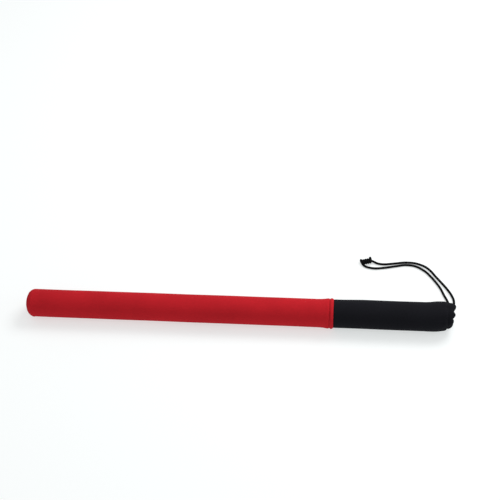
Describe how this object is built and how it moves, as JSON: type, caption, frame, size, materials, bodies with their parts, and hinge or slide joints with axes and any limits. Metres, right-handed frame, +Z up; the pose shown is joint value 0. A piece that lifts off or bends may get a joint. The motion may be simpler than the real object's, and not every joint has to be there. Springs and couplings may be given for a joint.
{
  "type": "padded practice baton",
  "caption": "Foam-padded stick in a red cloth sleeve with a domed sewn tip, and a black cloth grip whose gathered mouth is closed by a drawcord that is knotted into a wrist loop",
  "frame": {"origin": "on the floor, under the middle of the baton's length, without the free cord", "axes": "+X along the baton from the red tip to the drawstring mouth, +Y to the side the wrist cord lies on, +Z up from the floor the baton lies on"},
  "size_m": [0.665, 0.1525, 0.0443],
  "materials": {
    "red_cloth": "fine plain weave, matt",
    "red_thread": "twisted polyester thread",
    "black_cloth": "fine plain weave, matt",
    "black_thread": "twisted polyester thread",
    "black_cord": "round braid",
    "grey_foam": "closed-cell foam",
    "core_plastic": "extruded tube, satin",
    "plug_plastic": "moulded, satin"
  },
  "bodies": {
    "root": {"red_sleeve": "red_cloth", "tip_panel": "red_cloth", "tip_seam_thread": "red_thread", "hem_stitch_thread": "red_thread", "red_seam_thread": "red_thread", "grip_sleeve": "black_cloth", "channel_stitch_thread": "black_thread", "grip_seam_thread": "black_thread", "drawcord": "black_cord", "cord_strand_a": "black_cord", "cord_strand_b": "black_cord", "cord_knot": "black_cord", "foam_tube": "grey_foam", "tip_pad": "grey_foam", "butt_pad": "grey_foam", "core_tube": "core_plastic", "tip_plug": "plug_plastic", "butt_plug": "plug_plastic"}
  },
  "joints": []
}
